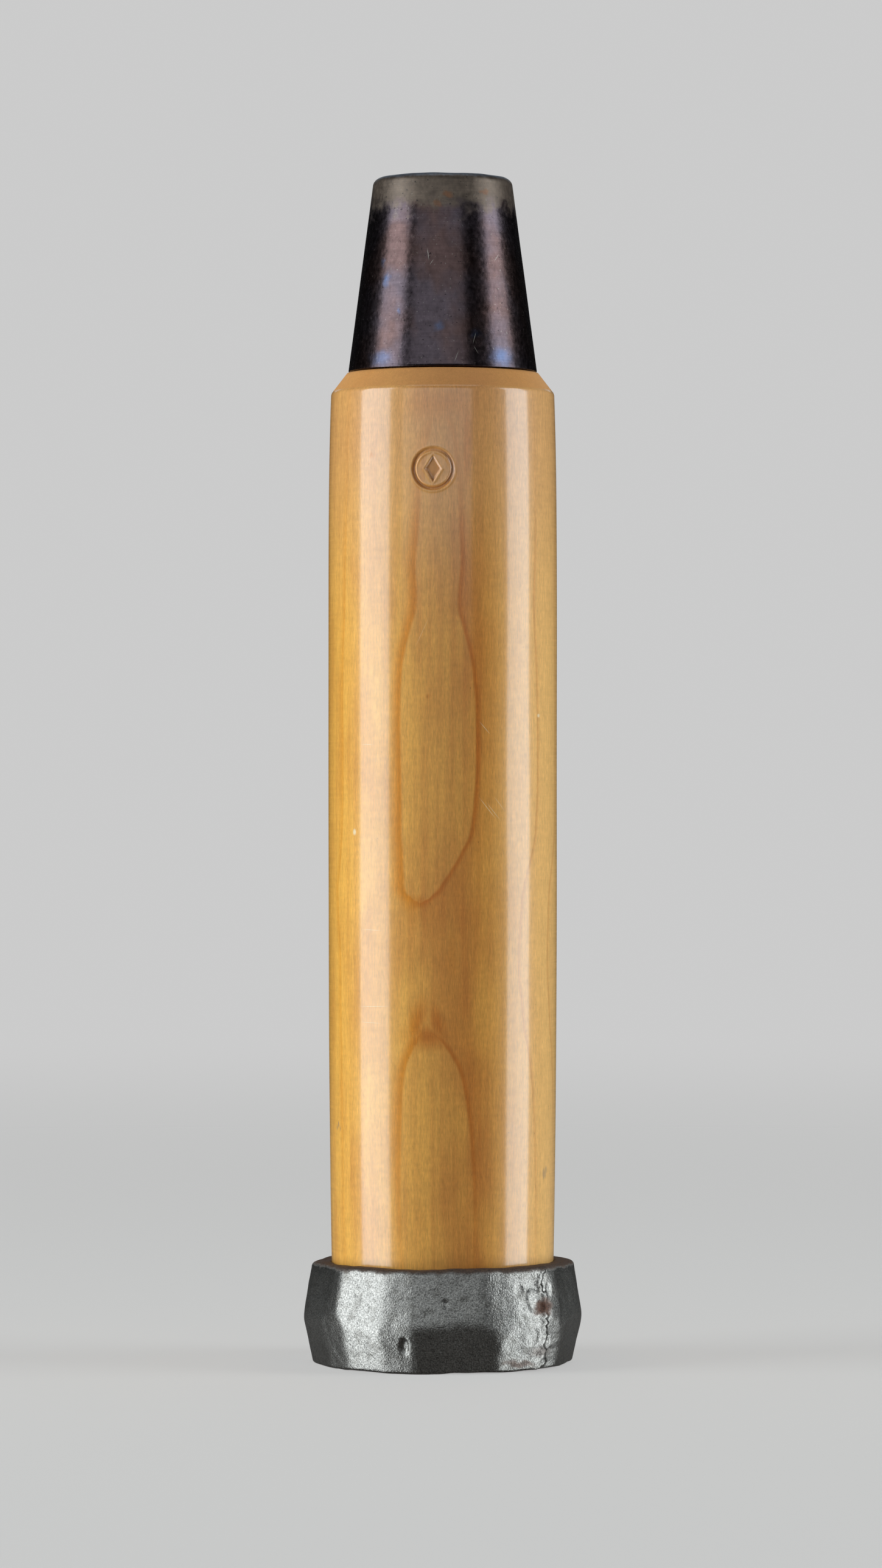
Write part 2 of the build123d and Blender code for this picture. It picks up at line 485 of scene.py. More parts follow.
def drawRings(tree, place, grain):
    # growth rings about a pith behind the grip, so that the front shows them as long ovals
    height = addNode(tree, "ShaderNodeSeparateXYZ", [place]).outputs["Z"]
    swell, lean, strength = (followCurve(tree, height, name) for name in ("swell", "lean", "strength"))
    back = addNode(tree, "ShaderNodeMath", [lean, -math.pi / 180], operation="MULTIPLY")
    turned = addNode(tree, "ShaderNodeVectorRotate", {"Vector": place, "Angle": back}, rotation_type="Z_AXIS")
    fromPith = addNode(tree, "ShaderNodeVectorMath", [turned, (0, boxwood["pith"], 0)], operation="SUBTRACT")
    flat = addNode(tree, "ShaderNodeVectorMath", [fromPith, (1, 1, 0)], operation="MULTIPLY")
    distance = addNode(tree, "ShaderNodeVectorMath", [flat], operation="LENGTH").outputs["Value"]
    level = addNode(tree, "ShaderNodeMath", [distance, swell], operation="ADD")
    for name, amount in (("broad", boxwood["waver"]), ("feather", boxwood["feather"])):
        centred = addNode(tree, "ShaderNodeMath", [grain[name], 0.5], operation="SUBTRACT")
        level = addNode(tree, "ShaderNodeMath", [centred, amount, level], operation="MULTIPLY_ADD")

    # how fast the surface runs through the rings, so that a line keeps its width in mm all along
    across = addNode(tree, "ShaderNodeSeparateXYZ", [turned]).outputs["X"]
    outward = addNode(tree, "ShaderNodeMath", [across], operation="ABSOLUTE")
    slope = boxwood["pith"] / boxwood["frontRing"] / (boxwood["frontRing"] - boxwood["pith"])
    speed = addNode(tree, "ShaderNodeMath", [outward, slope, boxwood["leastRun"]], operation="MULTIPLY_ADD")
    beyond = addNode(tree, "ShaderNodeMath", [level, boxwood["frontRing"]], operation="SUBTRACT")
    rings = addNode(tree, "ShaderNodeMath", [beyond, boxwood["ringSpacing"]], operation="DIVIDE")
    phase = addNode(tree, "ShaderNodeMath", [rings], operation="FRACT")
    rest = addNode(tree, "ShaderNodeMath", [1.0, phase], operation="SUBTRACT")
    reach = addNode(tree, "ShaderNodeMath", [boxwood["ringSpacing"], speed], operation="DIVIDE")
    before = addNode(tree, "ShaderNodeMath", [rest, reach], operation="MULTIPLY")
    after = addNode(tree, "ShaderNodeMath", [phase, reach], operation="MULTIPLY")

    left, right = boxwood["leftToRight"]
    side = addNode(tree, "ShaderNodeMapRange", {"Value": across, "From Min": left, "From Max": right})
    fades = []
    for start, end, least, most in (boxwood["shadeFade"], boxwood["lineFade"]):
        values = {"Value": outward, "From Min": start, "From Max": end, "To Min": least, "To Max": most}
        fades.append(addNode(tree, "ShaderNodeMapRange", values))
    late = 0.0
    for name, share in (("core", boxwood["coreShare"]), ("shade", fades[0])):
        values = {"Value": side, "To Min": boxwood[name + "Left"], "To Max": boxwood[name + "Right"]}
        width = addNode(tree, "ShaderNodeMapRange", values)
        values = {"Value": before, "From Min": width, "From Max": 0.0, "To Max": share}
        rise = addNode(tree, "ShaderNodeMapRange", values, interpolation_type="SMOOTHSTEP")
        late = addNode(tree, "ShaderNodeMath", [late, rise], operation="ADD")
    values = {"Value": after, "From Min": boxwood["softEdge"], "From Max": 0.0}
    fall = addNode(tree, "ShaderNodeMapRange", values, interpolation_type="SMOOTHSTEP")
    late = addNode(tree, "ShaderNodeMath", [late, fall], operation="MAXIMUM")
    values = {"Value": side, "To Min": boxwood["boldLeft"], "To Max": boxwood["boldRight"]}
    bold = addNode(tree, "ShaderNodeMapRange", values)
    for share in (fades[1], bold, strength):
        late = addNode(tree, "ShaderNodeMath", [late, share], operation="MULTIPLY")
    return late


def makeBoxwood():
    # close-grained wood, turned, scraped and varnished: a broad soft figure, fine fibres and a glassy coat
    material, tree = newMaterial("boxwood, turned and varnished")
    place = findPlace(tree)
    grain = spreadGrain(tree, place, boxwood["sizes"], 2.0)
    cover = spreadPatches(tree, grain, boxwood["patches"])
    stirred = stirPlace(tree, place, grain["feather"].outputs["Color"], *boxwood["stir"])
    smudges = coverMarks(tree, stirred, boxwood["smudges"])
    knocks = coverMarks(tree, stirred, boxwood["knocks"], 0.5)
    scuffs = coverMarks(tree, place, boxwood["scuffs"], 0.3)
    dark = addNode(tree, "ShaderNodeMath", [drawRings(tree, place, grain), smudges], operation="MAXIMUM")

    zones = {}
    axes = addNode(tree, "ShaderNodeSeparateXYZ", [place]).outputs
    for kind, change in (("zones", "SMOOTHSTEP"), ("sharpZones", "LINEAR")):
        for name, (axis, start, end, least, most) in boxwood[kind].items():
            values = {"Value": axes[axis], "From Min": start, "From Max": end}
            values.update({"To Min": least, "To Max": most})
            zones[name] = addNode(tree, "ShaderNodeMapRange", values, interpolation_type=change)
    start, full, most = boxwood["clouds"]
    values = {"Value": grain["patch"], "From Min": start, "From Max": full, "To Max": most}
    clouds = addNode(tree, "ShaderNodeMapRange", values, interpolation_type="SMOOTHSTEP")
    deep = addNode(tree, "ShaderNodeMath", [zones["deep"], clouds], operation="ADD")
    deep = addNode(tree, "ShaderNodeMath", [deep, cover["streak"]], operation="ADD")
    deep = addNode(tree, "ShaderNodeMath", [deep, zones["lessDeep"]], operation="MULTIPLY")
    # painted shade: the mark's groove is darkened by how deep it is
    groove = addNode(tree, "ShaderNodeAttribute", attribute_name="groove").outputs["Fac"]
    groove = addNode(tree, "ShaderNodeMath", [groove, boxwood["grooveShade"]], operation="MULTIPLY")
    ring = layTones(tree, linear(boxwood["lateLeft"]), boxwood, [(zones["right"], "late")])
    layers = [(deep, "deep"), (zones["sap"], "sap"), (zones["tan"], "tan"), (dark, ring), (groove, "late")]
    layers += [(cover["pore"], "pore"), (knocks, "knock"), (scuffs, "scuff")]
    wood = layTones(tree, linear(boxwood["light"]), boxwood, layers)
    wood = varyShade(tree, wood, grain, boxwood["shades"])

    # the varnish lies on the turned side only
    flat = addNode(tree, "ShaderNodeVectorMath", [place, (1, 1, 0)], operation="MULTIPLY")
    radius = addNode(tree, "ShaderNodeVectorMath", [flat], operation="LENGTH").outputs["Value"]
    coat = addNode(tree, "ShaderNodeMath", [radius, boxwood["varnished"]], operation="GREATER_THAN")
    bare = addNode(tree, "ShaderNodeMath", [1.0, coat], operation="SUBTRACT")
    thin = addNode(tree, "ShaderNodeMath", [bare, boxwood["onBare"]], operation="MULTIPLY")
    grime = addNode(tree, "ShaderNodeMath", [zones["struck"], cover["grime"]], operation="MULTIPLY")
    wood = layTones(tree, wood, boxwood, [(thin, "rawEnd"), (grime, "grime")])
    values = [bare, boxwood["bareRoughness"], boxwood["roughness"]]
    roughness = addNode(tree, "ShaderNodeMath", values, operation="MULTIPLY_ADD")
    for name, start, full, least in boxwood["glossBreaks"]:
        values = {"Value": grain[name], "From Min": start, "From Max": full, "To Min": least}
        gloss = addNode(tree, "ShaderNodeMapRange", values)
        coat = addNode(tree, "ShaderNodeMath", [coat, gloss], operation="MULTIPLY")
    values = {
        "Base Color": wood,
        "Roughness": roughness,
        "Normal": raiseGrain(tree, grain, boxwood["relief"]),
        "Specular IOR Level": boxwood["specular"],
        "Coat Weight": coat,
        "Coat Roughness": boxwood["coatRoughness"],
        "Coat IOR": boxwood["coatIor"],
    }
    shader = addNode(tree, "ShaderNodeBsdfPrincipled", values)
    addNode(tree, "ShaderNodeOutputMaterial", [shader])
    return material


blackSteel = {
    "plum": "#463c3f",
    "brown": "#4a3936",
    "blue": "#404a60",
    "patina": "#5d4f43",
    # worn bright steel at the rim, partly real wear and partly a painted highlight along its edge
    "edge": "#6a707a",
    "rust": "#6b4326",
    "dust": "#8d857a",
    "pit": "#141214",
    "patinaDepth": 3.9,  # mm of dull brown below the rim
    "patinaFade": 1.3,
    "patinaWander": 5.0,
    "rubbedGleam": (-0.25, 0.1, 0.8),  # mm from the rim, and how bright it is worn; this worn band is partly real wear and partly a painted highlight along the rim
    "rubWander": 0.5,
    "polish": (0.16, 0.34),  # roughness
    "patinaRoughness": 0.2,  # more than the polished steel
    "patinaDirt": 0.4,
    "dirtMetallic": 0.3,
    "sizes": {
        "temper": (5.0, 5.0, 6.0),
        "cloud": (1.3, 1.3, 1.3),
        "mottle": (0.45, 0.45, 0.6),
        "turning": (5.0, 5.0, 0.13),  # tool lines are finer, drawn as coarse as shows
        "dust": (0.2, 0.2, 0.24),
        "pit": (0.34, 0.34, 0.3),
    },
    "patches": {
        "brown": ("temper", 0.42, 0.62, 1.0),
        "dust": ("dust", 0.66, 0.8, 0.6),
        "pit": ("pit", 0.34, 0.27, 0.8),
    },
    "shades": {"mottle": (0.8, 1.2), "cloud": (0.88, 1.12), "turning": (0.9, 1.1)},
    "relief": {"turning": (0.7, 0.006), "mottle": (0.8, 0.012)},
    "stir": (1.4, 1.4),
    "blueSpots": (
        (-6.6, 127.4, 0.5, 1.3, 0, 0.75), (-6.9, 129.6, 0.35, 0.7, 0, 0.5), (-0.4, 121.7, 0.8, 0.7, 0, 0.55),
        (3.8, 120.8, 0.9, 0.8, 0, 0.8), (6.8, 118.3, 2.0, 1.6, 0, 0.8), (-7.2, 118.2, 2.2, 1.3, 0, 0.55),
        (2.4, 138.9, 1.0, 0.7, 0, 0.5), (-2.9, 138.6, 1.4, 0.6, 0, 0.4), (-5.1, 123.5, 0.3, 0.6, 0, 0.5),
    ),
    "rustSpots": (
        (0.7, 137.4, 0.7, 0.6, 10, 0.8), (-0.5, 136.2, 0.5, 0.7, 0, 0.6), (5.0, 137.9, 0.6, 0.4, 0, 0.6),
    ),
    "scratches": (
        (3.7, 120.4, 0.06, 0.9, 14, 0.9), (3.9, 119.0, 0.05, 0.7, -30, 0.8),
        (-1.7, 130.2, 0.06, 0.9, -8, 0.7), (-1.3, 129.3, 0.05, 0.5, 35, 0.6),
        (1.6, 118.2, 0.05, 0.8, 20, 0.6), (6.3, 130.0, 0.04, 0.6, 30, 0.5),
    ),
}


def makeBlackSteel():
    # mild steel turned and blackened by heat: a dark mirror with temper colours, dull brown near the rim
    material, tree = newMaterial("steel, heat-blackened")
    place = findPlace(tree)
    height = addNode(tree, "ShaderNodeSeparateXYZ", [place]).outputs["Z"]
    look = spreadGrain(tree, place, blackSteel["sizes"], 3.0)
    cover = spreadPatches(tree, look, blackSteel["patches"])
    stirred = stirPlace(tree, place, look["cloud"].outputs["Color"], *blackSteel["stir"])
    blue = coverMarks(tree, stirred, blackSteel["blueSpots"])
    rust = coverMarks(tree, stirred, blackSteel["rustSpots"], 0.3)
    scratch = coverMarks(tree, place, blackSteel["scratches"], 0.3)
    wander, fade, rim = blackSteel["patinaWander"], blackSteel["patinaFade"], cadHigh.z / mm
    edge = addNode(tree, "ShaderNodeMath", [look["cloud"], wander, height], operation="MULTIPLY_ADD")
    line = rim - blackSteel["patinaDepth"] + wander / 2
    values = {"Value": edge, "From Min": line - fade, "From Max": line + fade}
    patina = addNode(tree, "ShaderNodeMapRange", values, interpolation_type="SMOOTHSTEP")
    # the rim's worn bright band: partly real wear, partly a painted highlight
    values = [look["mottle"], blackSteel["rubWander"], height]
    rub = addNode(tree, "ShaderNodeMath", values, operation="MULTIPLY_ADD")
    low, high, most = blackSteel["rubbedGleam"]
    values = {"Value": rub, "From Min": rim + low, "From Max": rim + high, "To Max": most}
    worn = addNode(tree, "ShaderNodeMapRange", values)
    layers = [(cover["brown"], "brown"), (blue, "blue"), (patina, "patina"), (rust, "rust")]
    layers += [(cover["pit"], "pit"), (cover["dust"], "dust"), (scratch, "dust"), (worn, "edge")]
    steel = layTones(tree, linear(blackSteel["plum"]), blackSteel, layers)
    steel = varyShade(tree, steel, look, blackSteel["shades"])

    dull = addNode(tree, "ShaderNodeMath", [patina, blackSteel["patinaDirt"]], operation="MULTIPLY")
    for dirt in (cover["dust"], rust, scratch):
        dull = addNode(tree, "ShaderNodeMath", [dull, dirt], operation="MAXIMUM")
    values = {"Value": dull, "To Min": 1.0, "To Max": blackSteel["dirtMetallic"]}
    metallic = addNode(tree, "ShaderNodeMapRange", values)
    least, most = blackSteel["polish"]
    smooth = addNode(tree, "ShaderNodeMapRange", {"Value": look["mottle"], "To Min": least, "To Max": most})
    values = [patina, blackSteel["patinaRoughness"], smooth]
    roughness = addNode(tree, "ShaderNodeMath", values, operation="MULTIPLY_ADD")
    bump = raiseGrain(tree, look, blackSteel["relief"])
    values = {"Base Color": steel, "Metallic": metallic, "Roughness": roughness, "Normal": bump}
    shader = addNode(tree, "ShaderNodeBsdfPrincipled", values)
    addNode(tree, "ShaderNodeOutputMaterial", [shader])
    return material


hoopIron = {
    "bright": "#858079",
    "scale": "#68635c",
    "crack": "#141312",
    "rust": "#5e3d2a",
    "rim": "#483425",
    "sizes": {
        "grit": (0.17, 0.17, 0.17),
        "spark": (0.10, 0.10, 0.10),
        "pebble": (0.9, 0.9, 0.8),
        "mottle": (1.5, 1.5, 1.2),
    },
    "patches": {"scale": ("mottle", 0.5, 0.68, 0.7), "unbroken": ("pebble", 0.4, 0.6, 0.85)},
    "leastCrack": 0.15,
    "shades": {"grit": (0.46, 1.5)},
    "relief": {"pebble": (0.8, 0.045), "grit": (1.0, 0.044), "spark": (0.7, 0.016)},
    "stir": (1.6, 1.6),
    "rusted": (11.9, 12.4),  # mm of height at which the top's rust begins and is full
    "rustWander": 0.9,
    "roughness": 0.32,
    "rougher": {"scale": 0.08, "unbrushed": 0.06, "rust": 0.35},  # what each adds
    "rustMetallic": 0.2,
    "unbrushed": ((-15.0, 6.0, 3.6, 9.0, 0, 1.0), (15.4, 6.0, 3.0, 9.0, 0, 0.8)),  # rougher at the sides
    "rustSpots": (
        (11.7, 7.4, 1.4, 1.3, -30, 1.0), (8.8, 0.9, 2.4, 0.6, 5, 0.5), (11.3, 2.2, 1.6, 1.0, 0, 0.25),
    ),
}


def makeHoopIron():
    # wrought iron, hammered hot and wire-brushed: bright grainy faces, dark scale in the hollows, rust on top
    material, tree = newMaterial("iron, forged and brushed")
    place = findPlace(tree)
    height = addNode(tree, "ShaderNodeSeparateXYZ", [place]).outputs["Z"]
    look = spreadGrain(tree, place, hoopIron["sizes"], 3.0)
    cover = spreadPatches(tree, look, hoopIron["patches"])
    stirred = stirPlace(tree, place, look["mottle"].outputs["Color"], *hoopIron["stir"])
    spots = coverMarks(tree, stirred, hoopIron["rustSpots"], 0.3)
    unbrushed = coverMarks(tree, stirred, hoopIron["unbrushed"])
    seam = addNode(tree, "ShaderNodeAttribute", attribute_name="seam").outputs["Fac"]
    broken = addNode(tree, "ShaderNodeMath", [cover["unbroken"], hoopIron["leastCrack"]], operation="ADD")
    seam = addNode(tree, "ShaderNodeMath", [seam, broken], operation="MULTIPLY")
    values = [look["mottle"], hoopIron["rustWander"], height]
    edge = addNode(tree, "ShaderNodeMath", values, operation="MULTIPLY_ADD")
    start, full = hoopIron["rusted"]
    values = {"Value": edge, "From Min": start, "From Max": full}
    top = addNode(tree, "ShaderNodeMapRange", values, interpolation_type="SMOOTHSTEP")
    layers = [(cover["scale"], "scale"), (top, "rim"), (seam, "crack"), (spots, "rust")]
    iron = layTones(tree, linear(hoopIron["bright"]), hoopIron, layers)
    iron = varyShade(tree, iron, look, hoopIron["shades"])

    rust = addNode(tree, "ShaderNodeMath", [top, spots], operation="MAXIMUM")
    values = {"Value": rust, "To Min": 1.0, "To Max": hoopIron["rustMetallic"]}
    metallic = addNode(tree, "ShaderNodeMapRange", values)
    roughness = hoopIron["roughness"]
    for name, share in (("scale", cover["scale"]), ("unbrushed", unbrushed), ("rust", rust)):
        values = [share, hoopIron["rougher"][name], roughness]
        roughness = addNode(tree, "ShaderNodeMath", values, operation="MULTIPLY_ADD")
    bump = raiseGrain(tree, look, hoopIron["relief"])
    values = {"Base Color": iron, "Metallic": metallic, "Roughness": roughness, "Normal": bump}
    shader = addNode(tree, "ShaderNodeBsdfPrincipled", values)
    addNode(tree, "ShaderNodeOutputMaterial", [shader])
    return material


boxwoodFinish = makeBoxwood()
blackSteelFinish = makeBlackSteel()
hoopIronFinish = makeHoopIron()
print("finishes mixed")


grip = {
    "bellyHeight": 68.0,
    "upperDrop": 0.32,  # how much slimmer the grip is at its shoulder than at its belly
    "upperPower": 6.0,  # it stays full and falls off late
    "lowerDrop": 0.38,
    "lowerPower": 2.7,
    "cornerRound": 0.8,
    "chamferRun": 1.85,
    "chamferRise": 2.3,
    "gap": 0.15,  # under the ferrule
    "noseRoot": 9.6,
    "noseTip": 6.15,
    "tipBelowRim": 0.9,
    "tipChamfer": 0.3,
    "bore": 3.25,
    "boreMouth": 0.15,
    "boreDepth": 42.0,
    "drillPoint": 1.95,
    "seatEnd": 12.8,
    "seatSlack": (0.12, 0.02),  # half way up the hoop, and just below its top
    "seatTop": 0.6,
    "edgeRound": 0.9,
    "inside": 0.04,  # the belly stays this far inside the solid one
    "bruise": 0.22,
    "bruiseLumps": (5.5, 1.3),
    "bruiseFades": (11.3, 12.5),
    "waver": 0.02,
    "waverLump": 6.0,  # and three times as long
    "turnedFrom": 11.0,  # what is nearer the axis is the nose or the bore
    "turns": 2.0,  # degrees
    "row": 0.6,
    "rows": {"end": 0.45, "upper": 0.4, "ledge": 0.4, "tip": 0.25, "bore": 2.0},
    "chamferRows": 0.1,  # as a share of its length
    "noseRows": 0.2,
}

mark = {
    "height": 105.0,
    "angle": -4.8,  # degrees from the front
    "ring": 2.28,  # radius of the middle of the ring's line
    "line": 0.42,
    "lozenge": (0.95, 1.5),
    "lozengeSlant": 0.85,  # the distance square to its sides, as a share of the distance across
    "depth": 0.3,
    "lean": 0.28,  # the punch leaned to one side: half the share of its depth that it lost there
    "leanSpan": 1.4,  # ring radii over which it did
    "wall": (-0.14, 0.06),  # the groove's side, from its bed to the skin
    "lip": 0.035,
    "lipPlace": 0.16,
    "lipWidth": 0.1,
    "bed": 0.05,  # the whole mark lies this deep
    "bedEdge": (-0.5, 0.6),
    "window": 3.6,  # the mesh is fine within this of the mark
    "step": 0.085,
}


def gripOutline(hoopTop, shoulder, belly, low):
    corner = shoulder - grip["chamferRise"]
    tip = cadHigh.z / mm - grip["tipBelowRim"]

    def bodyRadius(z):
        if z > grip["bellyHeight"]:
            share = (z - grip["bellyHeight"]) / (corner - grip["bellyHeight"])
            return belly - grip["upperDrop"] * share ** grip["upperPower"]
        share = (grip["bellyHeight"] - z) / (grip["bellyHeight"] - hoopTop)
        return belly - grip["lowerDrop"] * share ** grip["lowerPower"]

    edge, softCorner, rows = grip["edgeRound"], grip["cornerRound"], grip["rows"]
    outline = [(r, low) for r in spaced(0, grip["seatEnd"] - edge, rows["end"])]
    outline += arcPoints((grip["seatEnd"] - edge, low + edge), (edge, edge), -90, 0, 8)[1:]
    for slack, z in zip(grip["seatSlack"], ((low + hoopTop) / 2, hoopTop - grip["seatTop"])):
        outline.append((bodyRadius(hoopTop) - slack, z))
    markLow, markHigh = mark["height"] - mark["window"], mark["height"] + mark["window"]
    heights = spaced(hoopTop, markLow, grip["row"])
    heights += spaced(markLow, markHigh, mark["step"])[1:]
    heights += spaced(markHigh, corner - softCorner / 2, rows["upper"])[1:]
    outline += [(bodyRadius(z), z) for z in heights]
    slant = math.degrees(math.atan2(grip["chamferRun"], grip["chamferRise"]))
    centre = (outline[-1][0] - softCorner, outline[-1][1])
    outline += arcPoints(centre, (softCorner, softCorner), 0, slant, 7)[1:]
    root, noseTop = grip["noseRoot"], tip - grip["tipChamfer"]
    ledge = bodyRadius(corner) - grip["chamferRun"]
    outline += between(outline[-1], (ledge, shoulder), grip["chamferRows"])[1:]
    outline += [(r, shoulder) for r in spaced(ledge, root, rows["ledge"])[1:]]
    outline += between((root, shoulder), (grip["noseTip"], noseTop), grip["noseRows"])[1:]
    mouth = grip["boreMouth"]
    bore, bottom = grip["bore"], tip - grip["boreDepth"]
    outline += [(r, tip) for r in spaced(grip["noseTip"] - grip["tipChamfer"], bore + mouth, rows["tip"])]
    outline += [(bore, z) for z in spaced(tip - mouth, bottom, rows["bore"])]
    return outline + [(0, bottom - grip["drillPoint"])]


def gripTurns(belly):
    # columns stand close together across the mark
    middle, half = math.radians(mark["angle"]), mark["window"] / belly
    fine = spaced(middle - half, middle + half, mark["step"] / belly)
    coarse = spaced(middle + half, middle - half + 2 * math.pi, math.radians(grip["turns"]))
    return fine + coarse[1:-1]


def pressMark(points):
    # a punched ring round a lozenge: a groove with a low lip, on a bed that sank with it
    radius = np.hypot(points[:, 0], points[:, 1])
    across = (np.arctan2(points[:, 0], -points[:, 1]) - math.radians(mark["angle"])) * radius
    up = points[:, 2] - mark["height"]
    away = np.hypot(across, up)
    width, tall = mark["lozenge"]
    fromRing = np.abs(away - mark["ring"]) - mark["line"] / 2
    fromLozenge = (np.abs(across) / width + np.abs(up) / tall - 1) * width * mark["lozengeSlant"]
    edge = np.minimum(fromRing, fromLozenge)
    lean = 1 - mark["lean"] * (1 - np.clip((-across - up) / (mark["leanSpan"] * mark["ring"]), -1, 1))
    groove = mark["depth"] * (1 - softStep(edge, *mark["wall"])) * lean
    lip = mark["lip"] * np.exp(-(((edge - mark["lipPlace"]) / mark["lipWidth"]) ** 2))
    inner, outer = mark["bedEdge"]
    bed = mark["bed"] * (1 - softStep(away, mark["ring"] + inner, mark["ring"] + outer)) * lean
    near = (radius > grip["turnedFrom"]) & (away < mark["window"])
    push = np.where(near, lip - groove - bed, 0)
    outward = points * [1, 1, 0] / np.maximum(radius, mm)[:, None]
    return points + outward * push[:, None], np.where(near, groove / mark["depth"], 0)


def bruiseStruckEnd(points, low):
    # hammer blows crush the end grain into shallow hollows
    radius = np.hypot(points[:, 0], points[:, 1])
    flat = points * [1, 1, 0]
    broad, small = (unevenness(flat, lump, seed) for seed, lump in enumerate(grip["bruiseLumps"], 3))
    lift = np.clip(broad, -0.2, 1) + small / 4
    lift *= grip["bruise"] * (1 - softStep(radius, *grip["bruiseFades"]))
    onEnd = (points[:, 2] < low + grip["edgeRound"]) & (radius < grip["seatEnd"])
    points[:, 2] += np.where(onEnd, lift, 0)
    return points


def makeGrip():
    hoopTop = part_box("hoop")[1].z / mm
    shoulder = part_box("ferrule")[0].z / mm - grip["gap"]
    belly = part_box("grip")[1].x / mm - grip["inside"]
    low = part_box("grip")[0].z / mm
    outline = gripOutline(hoopTop, shoulder, belly, low)
    piece = lathe("boxwoodGrip", outline, gripTurns(belly), boxwoodFinish)
    points = bruiseStruckEnd(readPoints(piece.data), low)
    turned = np.hypot(points[:, 0], points[:, 1]) > grip["turnedFrom"]
    waver = grip["waver"] * unevenness(points / [1, 1, 3], grip["waverLump"], 1)
    points[:, :2] *= (1 + np.where(turned, waver, 0) / belly)[:, None]
    points, groove = pressMark(points)
    writePoints(piece.data, points)
    piece.data.attributes.new("groove", "FLOAT", "POINT").data.foreach_set("value", groove)
    return piece


ferrule = {
    "root": 11.15,
    "middle": 10.0,
    "rim": 8.15,
    "rimRound": 0.95,
    "mouthChamfer": 0.3,
    "innerRoot": 9.58,
    "innerRim": 6.05,
    "baseRound": (0.08, 0.12),
    "turns": 288,
    "row": 0.3,
    "rimRow": 0.2,
    "innerShares": (0, 0.05, 0.4, 0.7),  # rows down the tapered inside
    "rimWear": 0.07,  # hammer and vice have beaten the rim a little
    "rimWorn": (1.6, 0.2),  # mm below the rim, where the wear begins and is full
    "rimLump": 2.2,
    "waver": 0.015,
    "waverFrom": (0.5, 1.5),  # mm above the base, which stays round
    "waverLump": 4.0,
}


def ferruleOutline(base, top):
    root, rim, inner = ferrule["root"], ferrule["rim"], ferrule["innerRim"]
    slant = math.degrees(math.atan2(root - rim, top - base))
    rimRound, mouth = ferrule["rimRound"], ferrule["mouthChamfer"]
    rimArc = arcPoints((rim - rimRound * 0.9, top - rimRound), (rimRound, rimRound), slant, 90, 10)
    run, rise = ferrule["baseRound"]
    outline = [(ferrule["innerRoot"], base), (root - run, base)]
    outline += between((root - 0.01, base + rise), rimArc[0], ferrule["row"] / (top - base))
    outline += rimArc[1:]
    outline += [(r, top) for r in spaced(rimArc[-1][0], inner + mouth, ferrule["rimRow"])[1:]]
    drop, spread = base - top + mouth, ferrule["innerRoot"] - inner
    return outline + [(inner + spread * s, top - mouth + drop * s) for s in ferrule["innerShares"]]


def makeFerrule():
    low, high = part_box("ferrule")
    base, top = low.z / mm, high.z / mm
    turns = spaced(0, 2 * math.pi, 2 * math.pi / ferrule["turns"])[:-1]
    piece = lathe("steelFerrule", ferruleOutline(base, top), turns, blackSteelFinish, closed=True)
    points = readPoints(piece.data)
    start, full = ferrule["rimWorn"]
    wear = softStep(points[:, 2], top - start, top - full) * ferrule["rimWear"]
    points[:, 2] -= wear * np.clip(0.4 + unevenness(points, ferrule["rimLump"], 8), 0, 1)
    start, full = ferrule["waverFrom"]
    waver = softStep(points[:, 2], base + start, base + full) * ferrule["waver"]
    waver *= unevenness(points, ferrule["waverLump"], 9)
    points[:, :2] *= (1 + waver / ferrule["middle"])[:, None]
    writePoints(piece.data, points)
    return piece


gripPiece = makeGrip()
ferrulePiece = makeFerrule()
print("grip and ferrule turned")


hoop = {
    "Steps": 640,
    "Flats": 10,
    "Height": 12.2 * mm,
    "Ridge Height": 5.4 * mm,
    "Ridge Radius": 16.5 * mm,
    "Top Radius": 15.4 * mm,
    "Bottom Radius": 15.35 * mm,
    "Bore Top": 13.15 * mm,
    "Bore End": 12.8 * mm,
    "Bore Start": 1.5 * mm,  # height at which the bore begins to widen
    "Flat Depth": 0.62 * mm,
    "Depth Wander": 0.10 * mm,
    "Angle Wander": math.radians(3.0),
    "Softness": 0.5 * mm,  # how rounded the meeting of two flats is
    "Roll": 0.22 * mm,
    "Dent": 0.10 * mm,
    "Edge Wear": 0.24 * mm,
    "Seed": 4.0,
}

# blows that went astray: degrees round to the right and mm deep, above the ridge and then below it
strayBlows = (
    (8, 0.90, 9, 1.0), (26, 0.74, 31, 0.3), (-21.5, 0.47, -20, 0.40), (66, 0.50, 58, 0.40),
    (-62, 0.45, -58, 0.7), (160, 0.5, 152, 0.4),
)
straySlopes = (0.16, -0.21)  # how those flats lean, above the ridge and below it

# pits and dents: degrees round, height, half width, half height and depth in mm
hoopPits = (
    (-16.5, 3.3, 0.75, 1.25, 0.34), (1.0, 8.2, 0.5, 0.7, 0.12), (36, 9.6, 0.9, 0.8, 0.1),
    (42, 4.2, 0.9, 1.4, 0.08), (-40, 8.9, 0.8, 0.5, 0.08), (47, 7.4, 0.6, 0.7, 0.2),
    (51, 3.4, 0.8, 1.3, 0.16), (53, 9.4, 0.7, 1.2, 0.14), (46, 1.8, 0.5, 0.6, 0.12),
    (-118, 5, 0.9, 1.2, 0.2), (131, 7.6, 0.7, 1.0, 0.2), (205, 3.4, 0.8, 0.6, 0.15),
)

